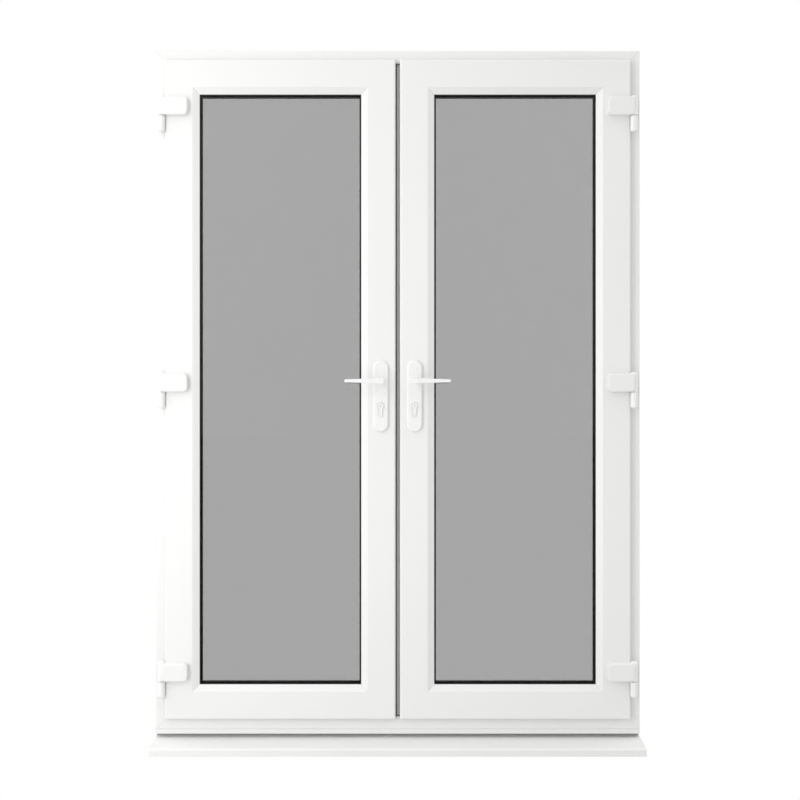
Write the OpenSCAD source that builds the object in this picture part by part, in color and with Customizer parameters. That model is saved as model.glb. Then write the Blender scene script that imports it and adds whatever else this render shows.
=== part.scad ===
// French doors: a pair of outward-opening glazed leaves in a frame, on a projecting cill.
// X runs to the right seen from outside, -Y is outside, Z is up.
// The origin is at the centre of the cill's underside, in the plane of the frame's outer face.

/* [Outer frame] */
// Width over the outer frame
frame_w = 1490; // [1300:5:1900]
// Height of the outer frame
frame_h = 2088; // [1740:1:2400]
// Depth of the outer frame, outside to inside
frame_d = 70; // [68:1:84]
// Face of the frame left showing round the leaves
margin = 31; // [28:1:45]
// How far a leaf's lip laps over the frame
overlap = 8; // [6:0.5:10]
// Extra clearance under the leaves, over the threshold
leaf_lift = 3; // [0:0.5:4]
// Height of the inner stop that the leaves close against
stop_h = 20; // [16:1:24]
// Wall of the hollow profiles
wall = 2.8; // [2.2:0.1:3.2]
// Web between the chambers of the hollow profiles
web = 2; // [1.5:0.1:2.5]
// Rounding of the frame's front corners
frame_edge = 2; // [1:0.5:3]

/* [Cill] */
// Height of the cill's front face
cill_front_h = 24; // [20:1:27]
// Height of the seat that the frame stands on
cill_seat_h = 42; // [40:1:50]
// Height of the cill's top where it meets the frame's face
cill_back_h = 29; // [28:0.5:32]
// Depth of the shadow gap under the frame's front edge
cill_gap_d = 22; // [4:1:26]
// Projection of the cill in front of the frame
cill_out = 92; // [60:1:110]
// Depth of the cill under the frame
cill_in = 65; // [50:1:68]
// Thickness of each end cap
cap_t = 3; // [2:0.5:4]
// How far the end caps stand out past the frame's sides
cap_out = 1.5; // [0:0.5:3]
// Height of the extension strip between cill and threshold
extension_h = 14; // [10:1:30]

/* [Leaves] */
// Gap between the two leaves
meeting_gap = 14; // [12:0.5:16]
// Depth of a leaf's profile, outside to inside
sash_d = 70; // [66:1:72]
// How far a leaf stands proud of the frame
proud = 17; // [15:0.5:19]
// Width of the lip past the body of the profile
lip_w = 20; // [18:0.5:22]
// Flat width of the leaf's face
flat_w = 85; // [80:1:100]
// Width of the bevel between flat and glass
bevel_w = 20; // [14:1:24]
// Depth of the bevel
bevel_d = 11; // [8:0.5:11]
// Rounding of the leaf's outer edge
sash_edge = 5; // [3:0.5:6]

/* [Glazing] */
// Thickness of one pane
pane_t = 4; // [4:1:6]
// Gap between the panes
cavity = 20; // [16:1:20]
// How far the glass sits behind the bevel's inner edge
edge_cover = 11; // [9:1:13]
// Width of the spacer bar
spacer_w = 11; // [8:1:12]
// Sight line of the spacer past the bevel's inner edge
spacer_sight = 5.5; // [3:0.5:8]
// Width of gasket that shows round the glass
gasket_sight = 3.5; // [2:0.5:5]

/* [Hinges] */
// Axis of the hinges outside the leaf's edge
pin_out = 9; // [9:0.5:11.5]
// Axis of the hinges in front of the frame's face
pin_front = 24; // [24:0.5:28]
// Radius of the hinge pin
pin_r = 4; // [3:0.25:5]
// Radius of the hinge knuckles
knuckle_r = 11.5; // [10:0.25:12.5]
// Length of the lower knuckle
knuckle_h = 48; // [36:1:60]
// Width of a hinge cover
cover_w = 83.5; // [70:0.5:90]
// Height of a hinge cover
cover_h = 56; // [46:1:70]
// Corner radius of a hinge cover
cover_r = 13; // [8:1:16]
// Distance from the frame's top to the centre of the top hinge's cover
hinge_top_inset = 177; // [150:1:260]
// Distance from the frame's bottom to the centre of the bottom hinge's cover
hinge_bottom_inset = 182; // [150:1:260]
// Rise of the middle hinge above the middle of the frame
hinge_rise = 22; // [0:1:60]

/* [Handles and locks] */
// Height of the spindles above the cill's underside
spindle_z = 1127; // [900:1:1200]
// Distance of the spindles from the centre line
spindle_x = 52; // [50:0.5:56]
// Side of the square spindle
spindle_s = 8; // [7:0.5:8.5]
// Drop from spindle to lock cylinder
cylinder_drop = 76; // [68:1:92]
// Width of a handle plate
plate_w = 46; // [40:1:50]
// Length of a handle plate
plate_h = 218; // [200:1:260]
// Thickness of a handle plate
plate_t = 8.5; // [8:0.5:14]
// Height of the spindle above the plate's centre
plate_rise = 46; // [40:1:60]
// Length of a lever from its spindle to its tip
lever_l = 110; // [90:1:130]
// Height of a lever at the elbow
lever_root_h = 19; // [17:0.5:22]
// Height of a lever at the tip
lever_tip_h = 9.5; // [7:0.5:16]
// Thickness of a lever
lever_t = 13; // [10:0.5:16]
// Stand-off of a lever's back from the plate
lever_gap = 26.5; // [20:0.5:40]
// Radius of a lever's neck
neck_r = 8; // [7:0.25:8.25]
// Radius of a shoot bolt
bolt_r = 5; // [4:0.25:5.5]
// Length of a shoot bolt
bolt_l = 260; // [150:5:400]

/* [Hidden] */
$fn = 48;

upvc = [0.95, 0.95, 0.94];
white_metal = [0.92, 0.92, 0.91];
steel = [0.62, 0.64, 0.66];
rubber = [0.07, 0.07, 0.07];
glass = [0.62, 0.66, 0.66, 0.5];

// Fits and clearances
seal_gap = 3;
seal_clear = 0.3;
run_clear = 0.05;
slide_clear = 0.1;
knuckle_gap = 2;
mitre_gap = 0.15;
steel_clear = 0.5;
steel_t = 2;
over = 1;

// Heights and the leaf's own box
frame_z = cill_seat_h + extension_h;
leaf_w = (frame_w - 2 * margin - meeting_gap) / 2;
leaf_h = frame_h - 2 * margin - leaf_lift;
leaf_z = frame_z + margin + leaf_lift;
leaf_x = -meeting_gap / 2 - leaf_w;

// Depths, from outside to inside
sash_front = -proud;
sash_back = sash_front + sash_d;
lip_back = -seal_gap;
stop_y = sash_back + seal_gap;
steel_y0 = 2;
steel_y1 = 36;
leg_back = sash_front + bevel_d + 2;
pane_y = leg_back + seal_gap;
glass_back = pane_y + 2 * pane_t + cavity;
bead_y = glass_back + seal_gap;

// Widths, from the leaf's edge to its glass
sight = flat_w + bevel_w;
pocket = flat_w + wall;
glass_edge = sight - edge_cover;
face_w = margin + overlap;

// The steel tubes of the outer frame, and the seal on its stop
frame_steel_y0 = 12;
frame_steel_y1 = 46;
frame_tube_u = face_w - 10;
frame_seal_foot = [face_w + 6, face_w + 17];
frame_seal_lip = [face_w + 8, face_w + 15];
leaf_seal_inset = 1.5;

// Hinges
pin_x = meeting_gap / 2 + leaf_w + pin_out;
hinge_heights = [
    frame_z + hinge_bottom_inset,
    frame_z + frame_h / 2 + hinge_rise,
    frame_z + frame_h - hinge_top_inset
];
knuckle_top = 4;
knuckle_round = 6;
cover_t = 2.5;
cover_round = 4.5;
cover_clear = 0.5;
cover_past = 1;
cover_y = -pin_front - knuckle_r - cover_clear - cover_t;
hinge_plate_t = 6;
hinge_arm_t = 12;
hinge_arm_gap = 2;
hinge_arm_inset = 6;

// Shoot bolts and lock
bolt_x = meeting_gap / 2 + lip_w + 11;
bolt_y = (steel_y0 + steel_y1) / 2;
body_x = meeting_gap / 2 + lip_w;
body_top = leaf_z + leaf_h - lip_w;
body_bottom = leaf_z + lip_w;
keep_t = 3;
lock_t = 16;
lock_y = bolt_y - lock_t / 2;
lock_backset = 45;
lock_up = 60;
lock_down = 110;
faceplate_half = 150;
cylinder_r = 8.5;
cylinder_stem = 10;
cylinder_h = 33;
plug_r = 6.5;

// Fixing holes through the jambs
fixing_r = 4.25;
fixing_inset = 150;
fixing_count = 4;
fixing_y = 29;
fixing_step = (frame_h - 2 * fixing_inset) / (fixing_count - 1);

// Points of an arc about [y, u], from one angle to another
function arc(c, r, a0, a1, n = 5) =
    [for (i = [0:n]) c + r * [cos(a0 + (a1 - a0) * i / n), sin(a0 + (a1 - a0) * i / n)]];

// A rectangle between two corners
module box2(p, q) {
    translate(p) square(q - p);
}

// Runs a [y, u] section along X
module along_x(length) {
    rotate([90, 0, 90]) linear_extrude(height = length) children();
}

// Puts a piece that was drawn as the bottom side of a ring on one of its four sides
module on_side(side, w, h) {
    if (side == "bottom") children();
    if (side == "top") translate([0, 0, h]) mirror([0, 0, 1]) children();
    if (side == "left") mirror([1, 0, -1]) children();
    if (side == "right") translate([w, 0, 0]) mirror([1, 0, 0]) mirror([1, 0, -1]) children();
}

// One mitred length of a section, the bottom side of a ring
module mitred(length, reach, gap = 0) {
    intersection() {
        along_x(length) children();
        translate([0, 200, 0]) rotate([90, 0, 0]) linear_extrude(height = 400)
            polygon([[gap, 0], [length - gap, 0], [length - reach - gap, reach], [reach + gap, reach]]);
    }
}

// The same, on a named side of a ring of w by h
module ring_side(side, w, h, reach, gap = 0) {
    length = (side == "top" || side == "bottom") ? w : h;
    on_side(side, w, h) mitred(length, reach, gap) children();
}

// Everything on a leaf is drawn for the left one, and mirrored for the right
module on_leaf(hand) {
    if (hand == "right") mirror([1, 0, 0]) children();
    else children();
}

// ---- Outer frame ----

module frame_section() {
    difference() {
        polygon(concat(
            [[frame_d, 0]],
            arc([frame_edge, frame_edge], frame_edge, 270, 180),
            arc([frame_edge, face_w - frame_edge], frame_edge, 180, 90),
            [[stop_y, face_w], [stop_y, face_w + stop_h], [frame_d, face_w + stop_h]]
        ));
        box2([wall, wall], [frame_steel_y0 - web, face_w - wall]);
        box2([frame_steel_y0, wall], [frame_steel_y1, face_w - wall]);
        box2([frame_steel_y1 + web, wall], [frame_d - wall, face_w - wall]);
        box2([stop_y + wall, face_w - wall - over], [frame_d - wall, face_w + stop_h - wall]);
    }
}

module frame_side(side) {
    translate([-frame_w / 2, 0, frame_z])
        ring_side(side, frame_w, frame_h, face_w + stop_h) frame_section();
}

// The row of fixing holes through one jamb
module fixing_holes(sign) {
    for (i = [0:fixing_count - 1])
        translate([sign * frame_w / 2, fixing_y, frame_z + fixing_inset + i * fixing_step])
            rotate([0, 90, 0]) cylinder(h = 4 * face_w, r = fixing_r, center = true);
}

module bolt_holes(r, z, h) {
    for (sign = [-1, 1])
        translate([sign * bolt_x, bolt_y, z]) cylinder(h = h, r = r);
}

head_inner = frame_z + frame_h - face_w;
threshold_inner = frame_z + face_w;

module frame_head() {
    color(upvc) difference() {
        frame_side("top");
        bolt_holes(bolt_r + 1, head_inner - over, wall + 2 * over);
    }
}

module frame_threshold() {
    color(upvc) difference() {
        frame_side("bottom");
        bolt_holes(bolt_r + 1, threshold_inner - wall - over, wall + 2 * over);
    }
}

module frame_jamb_left() {
    color(upvc) difference() {
        frame_side("left");
        fixing_holes(-1);
    }
}

module frame_jamb_right() {
    color(upvc) difference() {
        frame_side("right");
        fixing_holes(1);
    }
}

// Square steel tubes inside the frame, cut square short of the corners
module frame_tube(length) {
    translate([face_w + stop_h, 0, 0]) along_x(length - 2 * (face_w + stop_h)) difference() {
        box2([frame_steel_y0 + steel_clear, wall + over], [frame_steel_y1 - steel_clear, frame_tube_u]);
        box2([frame_steel_y0 + steel_clear + steel_t, wall + over + steel_t],
             [frame_steel_y1 - steel_clear - steel_t, frame_tube_u - steel_t]);
    }
}

module frame_reinforcement() {
    color(steel) difference() {
        translate([-frame_w / 2, 0, frame_z])
            for (side = ["bottom", "top", "left", "right"])
                on_side(side, frame_w, frame_h)
                    frame_tube((side == "top" || side == "bottom") ? frame_w : frame_h);
        fixing_holes(-1);
        fixing_holes(1);
    }
}

module frame_seal() {
    color(rubber) translate([-frame_w / 2, 0, frame_z])
        for (side = ["bottom", "top", "left", "right"])
            ring_side(side, frame_w, frame_h, face_w + stop_h, mitre_gap)
                polygon([
                    [stop_y, frame_seal_foot[0]], [sash_back + seal_clear, frame_seal_lip[0]],
                    [sash_back + seal_clear, frame_seal_lip[1]], [stop_y, frame_seal_foot[1]]
                ]);
}

module frame_extension() {
    color(upvc) translate([-frame_w / 2, 0, cill_seat_h]) along_x(frame_w) difference() {
        box2([0, 0], [frame_d, extension_h]);
        box2([wall, wall], [frame_d / 2 - web / 2, extension_h - wall]);
        box2([frame_d / 2 + web / 2, wall], [frame_d - wall, extension_h - wall]);
    }
}

// ---- Cill ----

cill_nose = 6;
drip_w = 6;
drip_h = 4;
cill_seal_t = 4;
cill_seal_lift = 2.5;
cill_wall = 3;
cill_w = frame_w + 2 * cap_out;

// Height of the sloping top at a distance y behind the frame's face
function cill_top(y) =
    cill_front_h + (cill_back_h - cill_front_h) * (y + cill_out) / cill_out;

module cill_outline() {
    polygon(concat(
        [[cill_in, 0], [-cill_out + 3 * drip_w, 0], [-cill_out + 3 * drip_w, drip_h],
         [-cill_out + 2 * drip_w, drip_h], [-cill_out + 2 * drip_w, 0], [-cill_out, 0]],
        arc([-cill_out + cill_nose, cill_front_h - cill_nose], cill_nose, 180, 94),
        [[0, cill_back_h], [cill_gap_d, cill_back_h], [cill_gap_d, cill_seat_h], [cill_in, cill_seat_h]]
    ));
}

// A chamber of the cill between two depths, under the sloping top
module cill_chamber(y0, y1, low) {
    polygon([
        [y0, low], [y1, low], [y1, cill_top(y1) - cill_wall - over],
        [y0, cill_top(y0) - cill_wall - over]
    ]);
}

module cill() {
    color(upvc) translate([cap_t - cill_w / 2, 0, 0]) along_x(cill_w - 2 * cap_t) difference() {
        cill_outline();
        cill_chamber(-cill_out + cill_wall, -cill_out + 2 * drip_w - cill_wall, cill_wall);
        cill_chamber(-cill_out + 2 * drip_w, -cill_out / 2, drip_h + cill_wall);
        cill_chamber(-cill_out / 2 + cill_wall, -cill_wall, cill_wall);
        box2([0, cill_wall], [cill_gap_d, cill_back_h - cill_wall]);
        box2([cill_gap_d + cill_wall, cill_wall], [cill_in - cill_wall, cill_seat_h - cill_wall]);
    }
}

module cill_end_caps() {
    color(upvc) for (x = [-cill_w / 2, cill_w / 2 - cap_t])
        translate([x, 0, 0]) along_x(cap_t) cill_outline();
}

// A dark foam strip along the back of the shadow gap
module cill_seal() {
    color(rubber) translate([-frame_w / 2, 0, 0]) along_x(frame_w)
        box2([cill_gap_d - cill_seal_t, cill_back_h + cill_seal_lift], [cill_gap_d, cill_seat_h]);
}

// ---- Hinges ----

// A round knuckle with one rounded end, standing on z = 0 with the round end up
module knuckle(h) {
    rotate_extrude() polygon(concat(
        [[0, 0], [knuckle_r, 0]],
        arc([knuckle_r - knuckle_round, h - knuckle_round], knuckle_round, 0, 90),
        [[0, h]]
    ));
}

// Puts children at every hinge of one hand, drawn for the left with the axis on Z and z = 0 at
// the centre of the cover
module at_hinges() {
    for (z = hinge_heights) translate([-pin_x, -pin_front, z]) children();
}

lower_top = -cover_h / 2 - knuckle_gap;
block_clear = 2.5;

module hinge_frame_leaf() {
    difference() {
        union() {
            translate([0, 0, lower_top]) mirror([0, 0, 1]) knuckle(knuckle_h);
            translate([-knuckle_r + over, 0, lower_top - knuckle_h + knuckle_round])
                cube([knuckle_r + pin_out - block_clear - over, pin_front, knuckle_h - 2 * knuckle_round]);
        }
        translate([0, 0, lower_top - knuckle_h + 2 * knuckle_round])
            cylinder(h = knuckle_h, r = pin_r);
    }
}

module hinge_frame_leaves() {
    color(white_metal) for (hand = ["left", "right"]) on_leaf(hand) at_hinges() hinge_frame_leaf();
}

module hinge_pins() {
    low = lower_top - knuckle_h + 2 * knuckle_round;
    color(steel) for (hand = ["left", "right"]) on_leaf(hand) at_hinges()
        translate([0, 0, low]) cylinder(h = cover_h / 2 - cover_t - low, r = pin_r);
}

module hinge_leaf() {
    plate_y = pin_front - proud;
    difference() {
        union() {
            translate([0, 0, -cover_h / 2]) knuckle(cover_h + knuckle_top);
            translate([0, plate_y - hinge_arm_gap - hinge_arm_t, -cover_h / 2 + hinge_arm_inset])
                cube([cover_w / 3, hinge_arm_t, cover_h - 2 * hinge_arm_inset]);
            intersection() {
                cover_slab(cover_t + over, plate_y - hinge_plate_t, hinge_plate_t);
                translate([pin_out + 2, 0, -cover_h]) cube([cover_w, plate_y, 2 * cover_h]);
            }
        }
        translate([0, 0, -cover_h / 2 - over]) cylinder(h = cover_h + over - cover_t, r = pin_r + run_clear);
    }
}

module hinge_leaves(hand) {
    color(white_metal) on_leaf(hand) at_hinges() hinge_leaf();
}

// A slab of the cover's outline, drawn in by some amount all round
module cover_slab(inset, y, t) {
    r = cover_r - inset;
    translate([0, y, 0]) rotate([-90, 0, 0]) linear_extrude(height = t) hull()
        for (x = [cover_r, cover_w - cover_r], z = [-1, 1] * (cover_h / 2 - cover_r))
            translate([x - cover_past, z]) circle(r = r);
}

module hinge_cover() {
    front = cover_y + pin_front;
    back = pin_front - proud;
    difference() {
        hull() {
            cover_slab(0, front + cover_round, back - front - cover_round);
            cover_slab(cover_round * 0.3, front + cover_round * 0.3, over);
            cover_slab(cover_round, front, over);
        }
        // The hollow, open at the back and on the knuckle's side
        cover_slab(cover_t, front + cover_t, back - front);
        translate([0, 0, -cover_h]) cylinder(h = 2 * cover_h, r = knuckle_r + cover_clear);
        translate([-cover_w, 0, -cover_h])
            cube([cover_w + knuckle_r + cover_clear, back + over, 2 * cover_h]);
    }
}

module hinge_covers(hand) {
    color(upvc) on_leaf(hand) at_hinges() hinge_cover();
}

// ---- Leaves ----

module sash_section() {
    difference() {
        polygon(concat(
            [[lip_back, 0]],
            arc([sash_front + sash_edge, sash_edge], sash_edge, 270, 180),
            [[sash_front, flat_w], [sash_front + bevel_d, sight], [leg_back, sight],
             [leg_back, pocket], [sash_back, pocket], [sash_back, lip_w], [lip_back, lip_w]]
        ));
        box2([sash_front + wall + over, wall + over], [lip_back - wall, lip_w - wall]);
        box2([sash_front + wall, lip_w + wall], [steel_y0 - web, flat_w]);
        box2([steel_y0, lip_w + wall], [steel_y1, flat_w]);
        box2([steel_y1 + web, lip_w + wall], [sash_back - wall, flat_w]);
    }
}

module sash_side(side) {
    translate([leaf_x, 0, leaf_z]) ring_side(side, leaf_w, leaf_h, sight) sash_section();
}

module top_rail(hand) {
    color(upvc) on_leaf(hand) difference() {
        sash_side("top");
        bolt_holes(bolt_r + slide_clear, body_top - wall - over, wall + 2 * over);
    }
}

module bottom_rail(hand) {
    color(upvc) on_leaf(hand) difference() {
        sash_side("bottom");
        bolt_holes(bolt_r + slide_clear, body_bottom - over, wall + 2 * over);
    }
}

module hinge_stile(hand) {
    color(upvc) on_leaf(hand) sash_side("left");
}

// The outline of a lock cylinder seen end on, with its round part at the origin
module cylinder_outline(grow = 0) {
    circle(r = cylinder_r + grow);
    translate([-cylinder_stem / 2 - grow, -(cylinder_h - cylinder_r) + cylinder_stem / 2])
        square([cylinder_stem + 2 * grow, cylinder_h - cylinder_r - cylinder_stem / 2]);
    translate([0, -(cylinder_h - cylinder_r) + cylinder_stem / 2])
        circle(r = cylinder_stem / 2 + grow);
}

// Runs an [x, z] outline along Y between two depths, at the lock cylinder
module at_cylinder(y0, y1) {
    translate([-spindle_x, y1, spindle_z - cylinder_drop])
        rotate([90, 0, 0]) linear_extrude(height = y1 - y0) children();
}

// A round hole or bar along Y at the spindle
module at_spindle(r, y0, y1) {
    translate([-spindle_x, y0, spindle_z]) rotate([-90, 0, 0]) cylinder(h = y1 - y0, r = r);
}

module meeting_stile(hand) {
    color(upvc) on_leaf(hand) difference() {
        sash_side("right");
        at_spindle(neck_r + over, sash_front - over, sash_back + over);
        at_cylinder(sash_front - over, sash_back + over) cylinder_outline(over);
        translate([-body_x - wall, lock_y, spindle_z - faceplate_half])
            cube([wall + over, lock_t, 2 * faceplate_half]);
    }
}

// A steel channel inside one side, open towards the leaf's edge
module sash_channel(length) {
    translate([pocket, 0, 0]) along_x(length - 2 * pocket) difference() {
        box2([steel_y0 + steel_clear, lip_w + wall + over], [steel_y1 - steel_clear, flat_w - steel_clear]);
        box2([steel_y0 + steel_clear + steel_t, lip_w + wall],
             [steel_y1 - steel_clear - steel_t, flat_w - steel_clear - steel_t]);
    }
}

module reinforcement(hand) {
    color(steel) on_leaf(hand) difference() {
        translate([leaf_x, 0, leaf_z])
            for (side = ["bottom", "top", "left", "right"])
                on_side(side, leaf_w, leaf_h)
                    sash_channel((side == "top" || side == "bottom") ? leaf_w : leaf_h);
        at_spindle(neck_r + over, sash_front, sash_back);
        at_cylinder(sash_front, sash_back) cylinder_outline(over);
    }
}

// ---- Glazing ----

// A pane or ring that fills the leaf from inset u, between two depths
module sheet(u, y0, y1) {
    translate([leaf_x + u, y0, leaf_z + u]) cube([leaf_w - 2 * u, y1 - y0, leaf_h - 2 * u]);
}

module sheet_ring(u0, u1, y0, y1) {
    difference() {
        sheet(u0, y0, y1);
        sheet(u1, y0 - over, y1 + over);
    }
}

module outer_pane(hand) {
    color(glass) on_leaf(hand) sheet(glass_edge, pane_y, pane_y + pane_t);
}

module inner_pane(hand) {
    color(glass) on_leaf(hand) sheet(glass_edge, glass_back - pane_t, glass_back);
}

module spacer_bar(hand) {
    color(rubber) on_leaf(hand)
        sheet_ring(sight + spacer_sight - spacer_w, sight + spacer_sight,
            pane_y + pane_t, glass_back - pane_t);
}

module gaskets(hand) {
    color(rubber) on_leaf(hand) {
        sheet_ring(glass_edge + 1, sight + gasket_sight, leg_back, pane_y);
        sheet_ring(glass_edge + 1, sight + gasket_sight, glass_back, bead_y);
    }
}

bead_h = 18;
bead_slope = 10;

module glazing_beads(hand) {
    color(upvc) on_leaf(hand) translate([leaf_x, 0, leaf_z])
        for (side = ["bottom", "top", "left", "right"])
            ring_side(side, leaf_w, leaf_h, pocket + bead_h, mitre_gap) difference() {
                polygon([
                    [bead_y, pocket], [sash_back, pocket], [sash_back, pocket + bead_h - bead_slope],
                    [sash_back - bead_slope, pocket + bead_h], [bead_y, pocket + bead_h]
                ]);
                box2([bead_y + web, pocket + web],
                     [sash_back - bead_slope, pocket + bead_h - web]);
            }
}

module leaf_seal(hand) {
    color(rubber) on_leaf(hand) translate([leaf_x, 0, leaf_z])
        for (side = ["bottom", "top", "left"])
            ring_side(side, leaf_w, leaf_h, lip_w, mitre_gap)
                box2([lip_back, leaf_seal_inset], [-seal_clear, overlap - leaf_seal_inset]);
}

mullion_x0 = -2.4;
mullion_y0 = 8;
mullion_y1 = 50;
mullion_cap_w = 18;
mullion_cap_h = lip_w - overlap - 2;

// A hollow strip on the edge of the right leaf, behind the gap, with a solid cap at each end
module mullion_strip() {
    length = leaf_h - 2 * lip_w;
    color(upvc) translate([mullion_x0, mullion_y0, body_bottom]) {
        difference() {
            cube([body_x - mullion_x0, mullion_y1 - mullion_y0, length]);
            translate([wall, wall, wall])
                cube([body_x - mullion_x0 - 2 * wall, mullion_y1 - mullion_y0 - 2 * wall, length - 2 * wall]);
        }
        translate([0, 0, -mullion_cap_h - leaf_lift])
            cube([mullion_cap_w, mullion_y1 - mullion_y0, mullion_cap_h + leaf_lift]);
        translate([0, 0, length]) cube([mullion_cap_w, mullion_y1 - mullion_y0, mullion_cap_h]);
    }
}

// ---- Handles and locks ----

boss_h = 2.4;
boss_l = 42;
boss_rim = 1.5;
moat_w = 1;
moat_d = 2;

module plate_blank() {
    rounding = 4;
    r = plate_w / 2;
    hull() for (step = [0:3], end = [-1, 1]) {
        a = step * 30;
        h = plate_t - rounding * (1 - sin(a));
        translate([0, h, end * (plate_h / 2 - r)]) rotate([90, 0, 0])
            cylinder(h = h, r = r - rounding * (1 - cos(a)));
    }
}

// Places a fitting on the outside or inside face, drawn as if y grew away from the leaf
module on_face(face) {
    if (face == "outer") translate([0, sash_front, 0]) mirror([0, 1, 0]) children();
    else translate([0, sash_back, 0]) children();
}

// The keyhole outline of the raised boss round the lock cylinder, grown all round
module boss_outline(grow = 0) {
    r = cylinder_r + boss_rim;
    stem = cylinder_stem + boss_rim;
    foot = r - boss_l + stem / 2;
    circle(r = r + grow);
    translate([-stem / 2 - grow, foot]) square([stem + 2 * grow, -foot]);
    translate([0, foot]) circle(r = stem / 2 + grow);
}

module handle_plate(hand, face) {
    color(white_metal) on_leaf(hand) on_face(face) difference() {
        union() {
            difference() {
                translate([-spindle_x, 0, spindle_z - plate_rise]) plate_blank();
                at_cylinder(plate_t - moat_d, plate_t + over) boss_outline(moat_w);
            }
            at_cylinder(plate_t - moat_d - over, plate_t + boss_h) boss_outline();
        }
        at_spindle(neck_r + run_clear, -over, plate_t + over);
        at_cylinder(-over, plate_t + boss_h + over) cylinder_outline(slide_clear);
    }
}

elbow = 11;
neck_seat = 5;
socket_clear = 0.1;
lever_edge = 2;
lever_corner = 4;
lever_block_l = 13;
lever_block_step = 1.5;

// A bar with softened edges round posts at [x, z], from the lever's back out by t
module lever_bar(posts, r, t) {
    hull() for (inset = [0, lever_edge], p = posts)
        translate([p[0], t - lever_edge + inset, p[1]]) rotate([90, 0, 0])
            cylinder(h = t - 2 * lever_edge + 2 * inset, r = r - inset / 2, $fn = 32);
}

// A block over the spindle, and a grip that tapers from it to the tip
module lever(hand, face) {
    y0 = plate_t + lever_gap;
    block_z = lever_root_h / 2 - lever_corner;
    grip_z = (lever_root_h - lever_tip_h) / 2 - lever_block_step;
    tip_r = lever_tip_h / 2;
    color(white_metal) on_leaf(hand) on_face(face) difference() {
        union() {
            translate([-spindle_x, y0, spindle_z]) {
                lever_bar([for (x = [elbow - lever_corner, lever_corner - lever_block_l], z = [-1, 1])
                    [x, z * block_z]], lever_corner, lever_t + lever_block_step);
                lever_bar([[-lever_l + tip_r, 0], [0, grip_z], [0, -grip_z]], tip_r, lever_t);
            }
            at_spindle(neck_r, plate_t - neck_seat, y0 + lever_edge);
        }
        translate([-spindle_x - spindle_s / 2 - socket_clear, 0, spindle_z - spindle_s / 2 - socket_clear])
            cube([spindle_s + 2 * socket_clear, y0, spindle_s + 2 * socket_clear]);
    }
}

module spindle(hand) {
    reach = plate_t + lever_gap - over;
    color(steel) on_leaf(hand)
        translate([-spindle_x - spindle_s / 2, sash_front - reach, spindle_z - spindle_s / 2])
            cube([spindle_s, sash_d + 2 * reach, spindle_s]);
}

module lock_case(hand) {
    color(steel) on_leaf(hand) difference() {
        union() {
            translate([-body_x - lock_backset - wall, lock_y, spindle_z - lock_down])
                cube([lock_backset + over, lock_t, lock_up + lock_down]);
            translate([-body_x - wall, lock_y, spindle_z - faceplate_half])
                cube([wall, lock_t, 2 * faceplate_half]);
        }
        at_spindle(spindle_s / sqrt(2) + 0.4, lock_y - over, lock_y + lock_t + over);
        at_cylinder(lock_y - over, lock_y + lock_t + over) cylinder_outline(slide_clear);
    }
}

cylinder_y0 = sash_front - plate_t - boss_h;
cylinder_y1 = sash_back + plate_t + boss_h;
key_w = 1;
key_h = 7;

module lock_cylinder(hand) {
    color(steel) on_leaf(hand) difference() {
        at_cylinder(cylinder_y0, cylinder_y1) cylinder_outline();
        at_cylinder(cylinder_y0 - over, cylinder_y1 + over) circle(r = plug_r + run_clear);
    }
}

module cylinder_plug(hand) {
    color(steel) on_leaf(hand) difference() {
        at_cylinder(cylinder_y0, cylinder_y1) circle(r = plug_r);
        at_cylinder(cylinder_y0 - over, cylinder_y1 + over)
            translate([-key_w / 2, -key_h / 2]) square([key_w, key_h]);
    }
}

module bolt(hand, end) {
    z = end == "top" ? body_top - bolt_l : body_bottom;
    color(steel) on_leaf(hand) translate([-bolt_x, bolt_y, z]) cylinder(h = bolt_l, r = bolt_r);
}

module bolt_keeps() {
    keep_w = 40;
    keep_d = 26;
    color(steel) difference() {
        for (sign = [-1, 1], z = [head_inner - keep_t, threshold_inner])
            translate([sign * bolt_x - keep_w / 2, bolt_y - keep_d / 2, z]) cube([keep_w, keep_d, keep_t]);
        for (z = [head_inner - keep_t, threshold_inner]) bolt_holes(bolt_r + 1, z - over, keep_t + 2 * over);
    }
}

frame_head();
frame_jamb_left();
frame_jamb_right();
frame_threshold();
frame_reinforcement();
frame_extension();
frame_seal();
cill();
cill_end_caps();
cill_seal();
hinge_frame_leaves();
hinge_pins();
bolt_keeps();
mullion_strip();
top_rail("left");  // left_top_rail
bottom_rail("left");  // left_bottom_rail
hinge_stile("left");  // left_hinge_stile
meeting_stile("left");  // left_meeting_stile
reinforcement("left");  // left_reinforcement
outer_pane("left");  // left_outer_pane
inner_pane("left");  // left_inner_pane
spacer_bar("left");  // left_spacer_bar
gaskets("left");  // left_gaskets
glazing_beads("left");  // left_glazing_beads
leaf_seal("left");  // left_seal
hinge_leaves("left");  // left_hinge_leaves
hinge_covers("left");  // left_hinge_covers
handle_plate("left", "outer");  // left_outer_plate
handle_plate("left", "inner");  // left_inner_plate
lock_case("left");  // left_lock_case
lock_cylinder("left");  // left_cylinder
cylinder_plug("left");  // left_cylinder_plug
lever("left", "outer");  // left_outer_lever
lever("left", "inner");  // left_inner_lever
spindle("left");  // left_spindle
bolt("left", "top");  // left_top_bolt
bolt("left", "bottom");  // left_bottom_bolt
top_rail("right");  // right_top_rail
bottom_rail("right");  // right_bottom_rail
hinge_stile("right");  // right_hinge_stile
meeting_stile("right");  // right_meeting_stile
reinforcement("right");  // right_reinforcement
outer_pane("right");  // right_outer_pane
inner_pane("right");  // right_inner_pane
spacer_bar("right");  // right_spacer_bar
gaskets("right");  // right_gaskets
glazing_beads("right");  // right_glazing_beads
leaf_seal("right");  // right_seal
hinge_leaves("right");  // right_hinge_leaves
hinge_covers("right");  // right_hinge_covers
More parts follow.
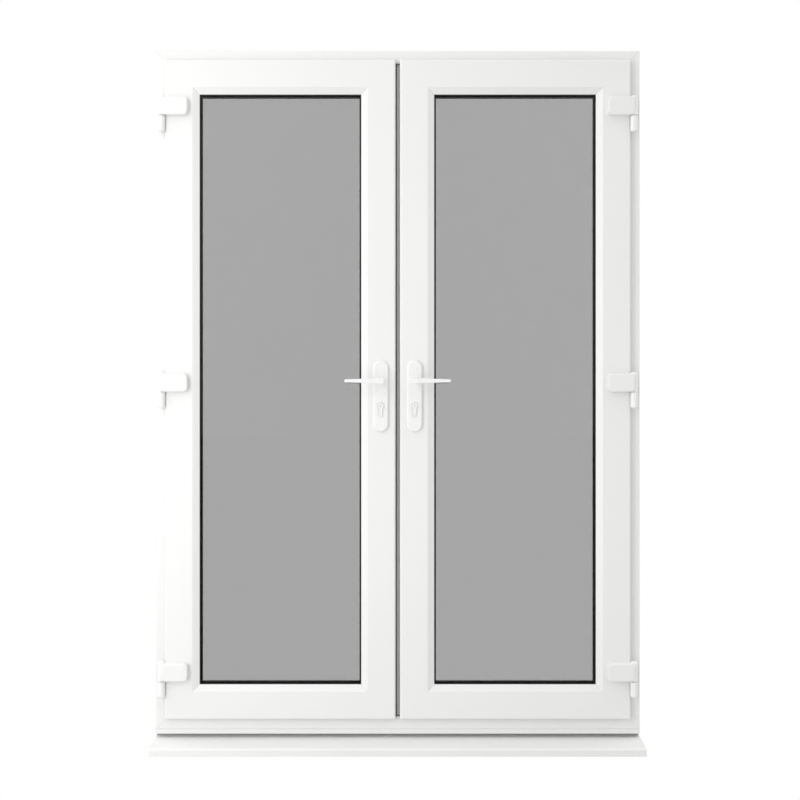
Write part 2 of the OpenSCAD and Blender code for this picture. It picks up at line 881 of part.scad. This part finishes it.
handle_plate("right", "outer");  // right_outer_plate
handle_plate("right", "inner");  // right_inner_plate
lock_case("right");  // right_lock_case
lock_cylinder("right");  // right_cylinder
cylinder_plug("right");  // right_cylinder_plug
lever("right", "outer");  // right_outer_lever
lever("right", "inner");  // right_inner_lever
spindle("right");  // right_spindle
bolt("right", "top");  // right_top_bolt
bolt("right", "bottom");  // right_bottom_bolt
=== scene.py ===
import math

import bmesh
import bpy
from mathutils import Matrix, Vector


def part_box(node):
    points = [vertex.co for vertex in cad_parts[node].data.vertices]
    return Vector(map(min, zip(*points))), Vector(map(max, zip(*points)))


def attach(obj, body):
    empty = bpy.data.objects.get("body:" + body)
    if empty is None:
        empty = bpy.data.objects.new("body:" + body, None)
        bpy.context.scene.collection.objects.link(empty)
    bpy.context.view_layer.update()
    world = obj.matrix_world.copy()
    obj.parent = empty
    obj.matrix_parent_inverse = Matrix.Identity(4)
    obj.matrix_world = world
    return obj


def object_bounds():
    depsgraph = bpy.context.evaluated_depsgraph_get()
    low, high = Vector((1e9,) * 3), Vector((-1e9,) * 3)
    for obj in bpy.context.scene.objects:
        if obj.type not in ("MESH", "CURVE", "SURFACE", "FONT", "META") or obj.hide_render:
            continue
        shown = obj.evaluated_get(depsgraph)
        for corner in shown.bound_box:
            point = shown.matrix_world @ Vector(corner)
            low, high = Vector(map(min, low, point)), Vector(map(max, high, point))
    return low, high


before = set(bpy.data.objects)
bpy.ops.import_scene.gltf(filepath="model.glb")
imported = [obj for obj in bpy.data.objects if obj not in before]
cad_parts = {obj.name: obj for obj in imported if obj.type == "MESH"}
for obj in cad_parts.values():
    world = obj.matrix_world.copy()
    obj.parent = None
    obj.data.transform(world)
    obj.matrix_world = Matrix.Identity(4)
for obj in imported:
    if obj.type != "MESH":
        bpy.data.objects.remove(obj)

CAD_BOX = [list(corner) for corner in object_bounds()]


# ---- Sizes in metres, and angles in degrees ----

PANE_COVER = 0.009      # a pane's edge lies this far inside the inner edge of a leaf's flat face
BOSS_H = 0.0024         # the cylinder's boss stands this far off a handle plate

SCREW_R = 0.0035
SCREW_TOP = 0.6         # the head's top radius, as a share of its foot's
SCREW_H = 0.0012
SCREW_SINK = 0.0002     # how far the foot sits in the plate
SCREW_INSET = 0.02      # from the plate's end
SCREW_SIDES = 40
CROSS_L = 0.84          # the cross's length, as a share of the head's foot radius
CROSS_W = 0.1512        # its width, as a share of the same
CROSS_T = 0.0004
CROSS_TURN = 20

FIN_T = 0.0015
FIN_SHORT = 0.0032      # from the front fin's tip to the mullion strip
FIN_GAP = 0.0002        # from the back fin's tip to the mullion strip
FIN_INSET = 0.001       # from the strip's ends

WELD_IN = 0.0003        # a mitre weld is full to this far off its line, and fades out at WELD_OUT
WELD_OUT = 0.0009

FLOOR_SIZE = 60
CAMERA_PLACE = (0.007, -3.421, 1.069)
CAMERA_LENS_MM = 50
CAMERA_SENSOR_MM = 36


# ---- Colours and light ----

WHITE = (0.86, 0.86, 0.855)
WHITE_WARM = (0.84, 0.84, 0.83)
WHITE_COOL = (0.87, 0.87, 0.87)
WELD = (0.66, 0.66, 0.65)
GLASS_TINT = (0.628, 0.628, 0.628)
RUBBER_DARK = (0.010, 0.010, 0.010)
RUBBER_PALE = (0.022, 0.022, 0.022)
# Grey of the seal strip in the gap under the frame, set to the depth of shade there: painted shade
SEAL_SHADE_DARK = (0.32, 0.32, 0.32)
SEAL_SHADE_PALE = (0.40, 0.40, 0.40)
SPACER_DARK = (0.012, 0.012, 0.013)
SPACER_PALE = (0.035, 0.035, 0.036)
ZINC_DARK = (0.50, 0.52, 0.54)
ZINC_PALE = (0.68, 0.70, 0.71)
FLOOR_TONE = 0.5
FLOOR_GLOW = 0.31
PURE_WHITE = (1, 1, 1, 1)


# ---- Places read from the frame ----

def extent(node):
    """A node's lowest and highest corners, as vectors."""
    low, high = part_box(node)
    return Vector(low), Vector(high)


FRAME_LOW = extent("frame_jamb_left")[0]
FRAME_HIGH = extent("frame_head")[1]
FRAME_HIGH.x = -FRAME_LOW.x
LEAF_LOW, LEAF_HIGH = extent("right_top_rail")
LEAF_LOW.z = extent("right_bottom_rail")[0].z
FLAT_W = LEAF_HIGH.x - extent("right_outer_pane")[1].x - PANE_COVER


# ---- Node helpers ----

def new_material(name):
    """A material with an empty graph, its node tree and its principled shader."""
    mat = bpy.data.materials.new(name)
    mat.use_nodes = True
    tree = mat.node_tree
    tree.nodes.clear()
    shader = tree.nodes.new("ShaderNodeBsdfPrincipled")
    output = tree.nodes.new("ShaderNodeOutputMaterial")
    tree.links.new(shader.outputs["BSDF"], output.inputs["Surface"])
    return mat, tree, shader


def put(tree, socket, value):
    """Links a socket to an input, or sets the input to a value."""
    if isinstance(value, bpy.types.NodeSocket):
        tree.links.new(value, socket)
    else:
        socket.default_value = value


def calc(tree, operation, *values):
    """One maths node."""
    node = tree.nodes.new("ShaderNodeMath")
    node.operation = operation
    for socket, value in zip(node.inputs, values):
        put(tree, socket, value)
    return node.outputs[0]


def place_axes(tree, output):
    """The X, Y and Z of a texture coordinate, as outputs."""
    source = tree.nodes.new("ShaderNodeTexCoord")
    split = tree.nodes.new("ShaderNodeSeparateXYZ")
    tree.links.new(source.outputs[output], split.inputs[0])
    return split.outputs


def noise(tree, scale, detail=3.0, stretch=(1, 1, 1)):
    """A noise value from 0 to 1, over object coordinates stretched along each axis."""
    source = tree.nodes.new("ShaderNodeTexCoord")
    mapping = tree.nodes.new("ShaderNodeMapping")
    mapping.inputs["Scale"].default_value = stretch
    tree.links.new(source.outputs["Object"], mapping.inputs["Vector"])
    node = tree.nodes.new("ShaderNodeTexNoise")
    node.inputs["Scale"].default_value = scale
    node.inputs["Detail"].default_value = detail
    tree.links.new(mapping.outputs["Vector"], node.inputs["Vector"])
    return node.outputs["Fac"]


def spread(tree, value, low, high, start=0.3, end=0.7):
    """Maps a value from the range start to end onto the range low to high."""
    node = tree.nodes.new("ShaderNodeMapRange")
    for name, number in (("From Min", start), ("From Max", end), ("To Min", low), ("To Max", high)):
        node.inputs[name].default_value = number
    tree.links.new(value, node.inputs["Value"])
    return node.outputs["Result"]


def blend(tree, factor, first, second):
    """A colour between two, each of them a socket or red, green and blue."""
    node = tree.nodes.new("ShaderNodeMix")
    node.data_type = "RGBA"
    put(tree, node.inputs[0], factor)
    for socket, colour in ((node.inputs[6], first), (node.inputs[7], second)):
        put(tree, socket, colour if isinstance(colour, bpy.types.NodeSocket) else (*colour, 1))
    return node.outputs[2]


def mottle(tree, shader, scale, first, second):
    """A base colour that wanders between two."""
    put(tree, shader.inputs["Base Color"], blend(tree, noise(tree, scale), first, second))


def soften(tree, shader, scale, low, high):
    """A roughness that wanders between two values."""
    put(tree, shader.inputs["Roughness"], spread(tree, noise(tree, scale), low, high))


def shine(shader, level):
    """The strength of a shader's clear reflection."""
    shader.inputs["Specular IOR Level"].default_value = level


def bump(tree, shader, height, strength, distance):
    """Bump on a shader, added over any bump that it has."""
    node = tree.nodes.new("ShaderNodeBump")
    node.inputs["Strength"].default_value = strength
    node.inputs["Distance"].default_value = distance
    tree.links.new(height, node.inputs["Height"])
    before = shader.inputs["Normal"].links
    if before:
        tree.links.new(before[0].from_socket, node.inputs["Normal"])
    tree.links.new(node.outputs["Normal"], shader.inputs["Normal"])


# ---- Materials ----

def mitre_mask(tree, low, high, inset):
    """1 on the weld lines at the corners of the box from low to high (x by distance from the
    centre, z by height), from inset inwards, and 0 elsewhere."""
    axes = place_axes(tree, "Object")
    away = calc(tree, "ABSOLUTE", axes["X"])
    side = calc(tree, "SUBTRACT", high.x, away)
    if low.x > 0:
        side = calc(tree, "MINIMUM", side, calc(tree, "SUBTRACT", away, low.x))
    end = calc(tree, "MINIMUM", calc(tree, "SUBTRACT", axes["Z"], low.z),
               calc(tree, "SUBTRACT", high.z, axes["Z"]))
    off = calc(tree, "ABSOLUTE", calc(tree, "SUBTRACT", side, end))
    line = spread(tree, off, 1, 0, start=WELD_IN, end=WELD_OUT)
    inside = calc(tree, "GREATER_THAN", calc(tree, "MINIMUM", side, end), inset)
    return calc(tree, "MULTIPLY", line, inside)


def upvc(name, stretch=(1, 1, 1), mitre=None):
    """White uPVC with a fine surface and a low sheen. Extruded lengths have faint die lines,
    stretched along them, and welded ones have grey mitre lines."""
    mat, tree, shader = new_material(name)
    tone = blend(tree, noise(tree, 2.5), WHITE, WHITE_WARM)
    shine(shader, 0.42)
    soften(tree, shader, 35, 0.30, 0.40)
    bump(tree, shader, noise(tree, 420, 2.0, stretch), strength=0.10, distance=0.0002)
    bump(tree, shader, noise(tree, 1600, 2.0), strength=0.06, distance=0.0001)
    if mitre:
        mask = mitre_mask(tree, *mitre)
        tone = blend(tree, mask, tone, WELD)
        bump(tree, shader, calc(tree, "SUBTRACT", 1.0, mask), strength=0.6, distance=0.0004)
    put(tree, shader.inputs["Base Color"], tone)
    return mat


def painted_metal(name):
    """White powder coat: a fine orange peel under a soft sheen."""
    mat, tree, shader = new_material(name)
    mottle(tree, shader, 12, WHITE, WHITE_COOL)
    soften(tree, shader, 1200, 0.34, 0.42)
    shine(shader, 0.35)
    bump(tree, shader, noise(tree, 2600, 1.0), strength=0.05, distance=0.00005)
    return mat


def rubber(name):
    """Matt black gasket with a faint bloom."""
    mat, tree, shader = new_material(name)
    mottle(tree, shader, 60, RUBBER_DARK, RUBBER_PALE)
    soften(tree, shader, 200, 0.55, 0.75)
    bump(tree, shader, noise(tree, 900), strength=0.2, distance=0.0002)
    return mat


def grey_seal(name):
    """Matt grey flexible seal. Its grey is set to darken the gap under the frame as shade would, so
    it is partly a real seal and partly painted shade.
    """
    mat, tree, shader = new_material(name)
    mottle(tree, shader, 90, SEAL_SHADE_DARK, SEAL_SHADE_PALE)
    soften(tree, shader, 200, 0.7, 0.9)
    shine(shader, 0.2)
    bump(tree, shader, noise(tree, 1100), strength=0.2, distance=0.0002)
    return mat


def spacer_finish(name):
    """Black warm-edge bar with a fine, matt grain."""
    mat, tree, shader = new_material(name)
    mottle(tree, shader, 120, SPACER_DARK, SPACER_PALE)
    soften(tree, shader, 300, 0.75, 0.95)
    shine(shader, 0.08)
    bump(tree, shader, noise(tree, 700, 1.0, (1, 6, 1)), strength=0.3, distance=0.0003)
    return mat


def galvanised(name):
    """Zinc-coated steel with a faint spangle."""
    mat, tree, shader = new_material(name)
    mottle(tree, shader, 140, ZINC_DARK, ZINC_PALE)
    shader.inputs["Metallic"].default_value = 1
    soften(tree, shader, 260, 0.28, 0.48)
    bump(tree, shader, noise(tree, 500), strength=0.1, distance=0.0002)
    return mat


def glazing(name):
    """Grey float glass with a faint ripple."""
    mat, tree, shader = new_material(name)
    shader.inputs["Base Color"].default_value = (*GLASS_TINT, 1)
    shader.inputs["Transmission Weight"].default_value = 1
    shader.inputs["IOR"].default_value = 1.45
    shader.inputs["Roughness"].default_value = 0
    bump(tree, shader, noise(tree, 3, 1.0), strength=0.02, distance=0.0005)
    return mat


# How noise is stretched into die lines, on level and on upright lengths
LINES_LEVEL = (0.02, 1, 1)
LINES_UPRIGHT = (1, 1, 0.02)
FRAME_MITRE = (Vector((0, 0, FRAME_LOW.z)), FRAME_HIGH, 0)
LEAF_MITRE = (LEAF_LOW, LEAF_HIGH, FLAT_W)
FINISH = {
    "frame_x": upvc("frame_upvc_level", LINES_LEVEL, FRAME_MITRE),
    "frame_z": upvc("frame_upvc_upright", LINES_UPRIGHT, FRAME_MITRE),
    "leaf_x": upvc("leaf_upvc_level", LINES_LEVEL, LEAF_MITRE),
    "leaf_z": upvc("leaf_upvc_upright", LINES_UPRIGHT, LEAF_MITRE),
    "cill": upvc("cill_upvc", LINES_LEVEL),
    "moulded": upvc("moulded_upvc"),
    "handle": painted_metal("handle_coat"),
    "hinge": painted_metal("hinge_coat"),
    "rubber": rubber("gasket_rubber"),
    # The seal strip's grey is painted shade for the gap under the frame
    "grey_seal": grey_seal("grey_seal"),
    "spacer": spacer_finish("spacer_bar"),
    "steel": galvanised("galvanised_steel"),
    "glass": glazing("float_glass"),
}

# The finish of each node, by the longest of these that its name ends with
ENDINGS = {
    "frame_head": "frame_x", "frame_threshold": "frame_x", "frame_extension": "frame_x",
    "frame_jamb_left": "frame_z", "frame_jamb_right": "frame_z", "mullion_strip": "frame_z",
    "cill": "cill", "cill_end_caps": "moulded", "cill_seal": "grey_seal", "frame_seal": "rubber",
    "top_rail": "leaf_x", "bottom_rail": "leaf_x", "hinge_stile": "leaf_z",
    "meeting_stile": "leaf_z", "glazing_beads": "moulded", "pane": "glass",
    "spacer_bar": "spacer", "gaskets": "rubber", "seal": "rubber",
    "hinge_covers": "moulded", "hinge_leaves": "hinge", "plate": "handle", "lever": "handle",
    "cylinder": "handle", "cylinder_plug": "handle", "spindle": "steel", "lock_case": "steel",
    "bolt": "steel", "hinge_pins": "steel", "keeps": "steel", "reinforcement": "steel",
    "hinge_frame_leaves": "hinge",
}


def finish_nodes():
    """Gives every CAD node its material."""
    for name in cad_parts:
        ending = max((e for e in ENDINGS if name.endswith(e)), key=len)
        mesh = bpy.data.objects[name].data
        mesh.materials.clear()
        mesh.materials.append(FINISH[ENDINGS[ending]])


# ---- Pieces that the CAD leaves out ----

def new_object(name, shape):
    """An object made from a bmesh, which is freed."""
    mesh = bpy.data.meshes.new(name)
    shape.to_mesh(mesh)
    shape.free()
    made = bpy.data.objects.new(name, mesh)
    bpy.context.collection.objects.link(made)
    return made


def block(name, low, high):
    """A box between two corners, as a new object."""
    shape = bmesh.new()
    bmesh.ops.create_cube(shape, size=1)
    low, high = Vector(low), Vector(high)
    for vert in shape.verts:
        vert.co = Vector(low[i] + (vert.co[i] + 0.5) * (high[i] - low[i]) for i in range(3))
    return new_object(name, shape)


def meeting_fins():
    """Two soft white fins on the left leaf, in the space beside the mullion strip: a short one
    in front, and a long one behind that reaches almost to the strip and keeps the light out."""
    strip_low, strip_high = extent("mullion_strip")
    for name, tip, depth in (("front", strip_low.x - FIN_SHORT, strip_low.y + FIN_T),
                             ("back", strip_low.x - FIN_GAP, strip_high.y - 2 * FIN_T)):
        fin = block(f"meeting_fin_{name}", (-strip_high.x, depth, strip_low.z + FIN_INSET),
                    (tip, depth + FIN_T, strip_high.z - FIN_INSET))
        fin.data.materials.append(FINISH["moulded"])
        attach(fin, "left_leaf")


def screw_shape():
    """A tapered screw head, upright, with a thin black cross on top as painted shade in place of a
    recess.
    """
    shape = bmesh.new()
    bmesh.ops.create_cone(shape, cap_ends=True, segments=SCREW_SIDES, radius1=SCREW_R,
                          radius2=SCREW_R * SCREW_TOP, depth=SCREW_H)
    size = (SCREW_R * CROSS_L, SCREW_R * CROSS_W, CROSS_T)
    for turn in (CROSS_TURN, CROSS_TURN + 90):
        arm = bmesh.ops.create_cube(shape, size=1)["verts"]
        bmesh.ops.scale(shape, verts=arm, vec=size)
        bmesh.ops.translate(shape, verts=arm, vec=(0, 0, SCREW_H / 2))
        bmesh.ops.rotate(shape, verts=arm, cent=(0, 0, 0),
                         matrix=Matrix.Rotation(math.radians(turn), 3, "Z"))
        # The cross takes the second, black finish: painted shade for the recess
        for side in {side for vert in arm for side in vert.link_faces}:
            side.material_index = 1
    return shape


def screw_heads(hand):
    """Two screw heads on the inner plate, above the lever and below the cylinder."""
    low, high = extent(f"{hand}_inner_plate")
    middle_x = (low.x + high.x) / 2
    centre_y = high.y - BOSS_H + SCREW_H / 2 - SCREW_SINK
    for end, height in (("top", high.z - SCREW_INSET), ("bottom", low.z + SCREW_INSET)):
        screw = new_object(f"{hand}_inner_screw_{end}", screw_shape())
        screw.data.materials.append(FINISH["steel"])
        # The black gasket finish, on the cross only, is painted shade for the screw's recess
        screw.data.materials.append(FINISH["rubber"])
        screw.rotation_euler = (math.radians(-90), 0, 0)
        screw.location = (middle_x, centre_y, height)
        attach(screw, f"{hand}_leaf")


# ---- Stage, light and camera ----

def seen_rays(tree):
    """1 for rays from the camera, straight or through the glass, and 0 for light."""
    light_path = tree.nodes.new("ShaderNodeLightPath")
    return calc(tree, "MAXIMUM", light_path.outputs["Is Camera Ray"],
                light_path.outputs["Is Transmission Ray"])


def light_rays(tree):
    """1 for rays that gather soft light, and 0 for those that see or mirror."""
    return tree.nodes.new("ShaderNodeLightPath").outputs["Is Diffuse Ray"]


def stage():
    """A plain floor: full white to the eye, a soft grey as light, and black in reflections."""
    bpy.ops.mesh.primitive_plane_add(size=FLOOR_SIZE, location=(0, 0, CAD_BOX[0][2]))
    floor = bpy.context.object
    floor.name = "floor"
    mat, tree, shader = new_material("floor_white")
    seen, lighting = seen_rays(tree), light_rays(tree)
    put(tree, shader.inputs["Base Color"], calc(tree, "MULTIPLY", lighting, FLOOR_TONE))
    shader.inputs["Roughness"].default_value = 0.9
    shine(shader, 0)
    shader.inputs["Emission Color"].default_value = PURE_WHITE
    glow = calc(tree, "MULTIPLY_ADD", lighting, FLOOR_GLOW, seen)
    put(tree, shader.inputs["Emission Strength"], glow)
    floor.data.materials.append(mat)


def surroundings(left, right, above):
    """A room that is full white to the eye, and lights the doors from its sides and ceiling."""
    world = bpy.data.worlds.new("white_room")
    bpy.context.scene.world = world
    world.use_nodes = True
    tree = world.node_tree
    axes = place_axes(tree, "Generated")
    glow = 0
    for axis, strength in (("X", -left), ("X", right), ("Z", above)):
        part = calc(tree, "MAXIMUM", calc(tree, "MULTIPLY", axes[axis], strength), 0)
        glow = calc(tree, "ADD", part, glow)
    seen = seen_rays(tree)
    unseen = calc(tree, "SUBTRACT", 1, seen)
    background = tree.nodes["Background"]
    background.inputs["Color"].default_value = PURE_WHITE
    put(tree, background.inputs["Strength"], calc(tree, "MULTIPLY_ADD", glow, unseen, seen))


def area_light(name, place, target, size, power):
    """A soft rectangular light aimed at a point."""
    data = bpy.data.lights.new(name, "AREA")
    data.shape = "RECTANGLE"
    data.size, data.size_y = size
    data.energy = power
    light = bpy.data.objects.new(name, data)
    light.location = place
    light.rotation_euler = (Vector(target) - Vector(place)).to_track_quat("-Z", "Y").to_euler()
    bpy.context.collection.objects.link(light)


def camera():
    """A level view square on to the doors, from outside."""
    data = bpy.data.cameras.new("camera")
    data.lens = CAMERA_LENS_MM
    data.sensor_width = CAMERA_SENSOR_MM
    eye = bpy.data.objects.new("camera", data)
    eye.location = CAMERA_PLACE
    eye.rotation_euler = (math.radians(90), 0, 0)
    bpy.context.collection.objects.link(eye)
    bpy.context.scene.camera = eye


bpy.context.scene.view_settings.view_transform = "Standard"
camera()
stage()
surroundings(left=1.66, right=1.17, above=0.72)
area_light("softbox", place=(-1.25, -1.5, 1.2), target=(0, 0, 1.1), size=(0.4, 3.0), power=15)
finish_nodes()
meeting_fins()
for hand in ("left", "right"):
    screw_heads(hand)
